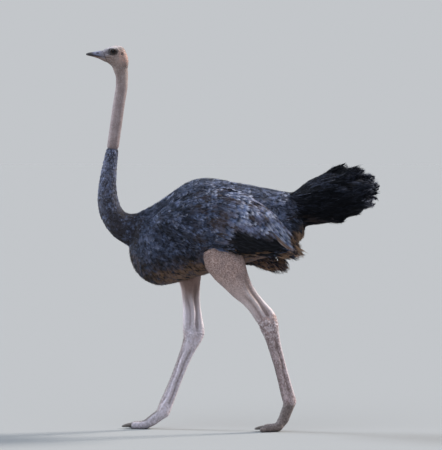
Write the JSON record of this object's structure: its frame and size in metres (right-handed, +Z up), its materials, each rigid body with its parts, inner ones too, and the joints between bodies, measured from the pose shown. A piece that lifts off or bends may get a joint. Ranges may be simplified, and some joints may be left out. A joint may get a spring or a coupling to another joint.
{
  "type": "ostrich model",
  "caption": "Life-size still model of a female ostrich walking, neck raised, standing on its toes.",
  "frame": {"origin": "on the floor, under the middle of the bounding box in X and Y", "axes": "+Z up; the bird walks towards -X, and its left side faces -Y"},
  "size_m": [1.4561, 0.4482, 1.896],
  "materials": {
    "bare_skin": "dry pinkish bare skin",
    "plumage": "soft grey-brown feathers",
    "dark_plumage": "soft blackish plumes",
    "horn": "satin horn",
    "eye": "wet gloss"
  },
  "bodies": {
    "root": {"head": "bare_skin", "neck_bare": "bare_skin", "drumstick_left": "bare_skin", "drumstick_right": "bare_skin", "hock_left": "bare_skin", "hock_right": "bare_skin", "tarsus_left": "bare_skin", "tarsus_right": "bare_skin", "toe_big_left": "bare_skin", "toe_big_right": "bare_skin", "toe_small_left": "bare_skin", "toe_small_right": "bare_skin", "neck_feathered": "plumage", "trunk": "plumage", "wing_left": "plumage", "wing_right": "plumage", "tail": "dark_plumage", "wing_plumes_left": "dark_plumage", "wing_plumes_right": "dark_plumage", "bill_upper": "horn", "bill_lower": "horn", "claw_left": "horn", "claw_right": "horn", "eye_left": "eye", "eye_right": "eye"}
  },
  "joints": []
}
